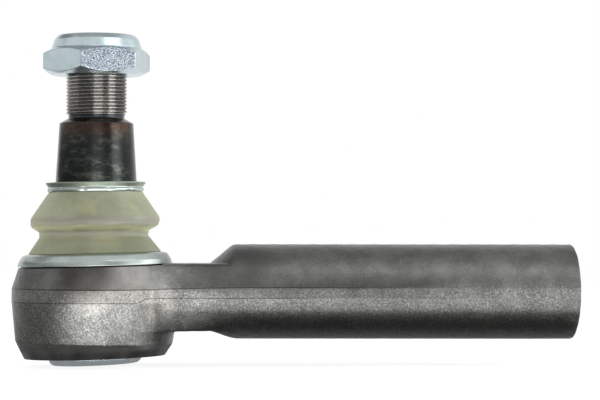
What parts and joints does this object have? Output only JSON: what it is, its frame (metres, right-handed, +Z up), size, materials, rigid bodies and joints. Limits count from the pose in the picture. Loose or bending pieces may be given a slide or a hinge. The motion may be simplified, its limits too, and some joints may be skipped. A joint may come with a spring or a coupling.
{
  "type": "tie rod end",
  "caption": "Tie rod end with a forged head and internally threaded shank, a tapered ball stud that swings and turns under a dust boot, and a self-locking hexagon nut on its thread.",
  "frame": {"origin": "on the shank's axis at the start of the rod thread, 1.5 mm behind the shank's end face, so the ball's centre is 206.5 mm away at negative X", "axes": "+X along the shank out of the rod thread's mouth, +Z up along the stud at rest, Y across"},
  "size_m": [0.2439, 0.0718, 0.1418],
  "materials": {
    "forged_steel": "shot-blasted forging",
    "stud_steel": "phosphated taper, rolled thread",
    "zinc_plate": "bright zinc plating",
    "spring_steel": "oiled",
    "boot_rubber": "matte, slightly translucent",
    "black_rubber": "matte",
    "bearing_plastic": "satin",
    "nylon": "satin"
  },
  "bodies": {
    "housing": {"housing": "forged_steel", "cover_plate": "zinc_plate", "cover_seal": "black_rubber", "disc_springs": "spring_steel", "pressure_disc": "spring_steel", "lower_shell": "bearing_plastic", "upper_shell": "bearing_plastic", "boot_lower_ring": "zinc_plate"},
    "boot": {"boot": "boot_rubber"},
    "collar": {"boot_upper_ring": "zinc_plate", "slide_ring": "bearing_plastic"},
    "stud": {"ball_stud": "stud_steel"},
    "insert": {"nut_insert": "nylon"},
    "nut": {"lock_nut": "zinc_plate"}
  },
  "joints": [
    {"name": "swing_across", "type": "hinge", "parent": "housing", "child": "boot", "pos_m": [-0.2065, 0, 0], "axis": [1, 0, 0], "range_deg": [-16, 16], "deforming": ["boot"]},
    {"name": "swing_along", "type": "hinge", "parent": "boot", "child": "collar", "pos_m": [-0.2065, 0, 0], "axis": [0, 1, 0], "range_deg": [-16, 16], "deforming": ["boot"]},
    {"name": "stud_spin", "type": "hinge", "parent": "collar", "child": "stud", "pos_m": [-0.2065, 0, 0], "axis": [0, 0, 1], "continuous": true},
    {"name": "nut_travel", "type": "slide", "parent": "stud", "child": "insert", "axis": [0, 0, 1], "range_m": [-0.0166, 0.0166]},
    {"name": "nut_turn", "type": "hinge", "parent": "insert", "child": "nut", "pos_m": [-0.2065, 0, 0], "axis": [0, 0, 1], "range_deg": [-3960, 3960]}
  ],
  "couplings": [
    {"joint": "nut_travel", "follows": "nut_turn", "m_per_rad": 0.00023873}
  ]
}
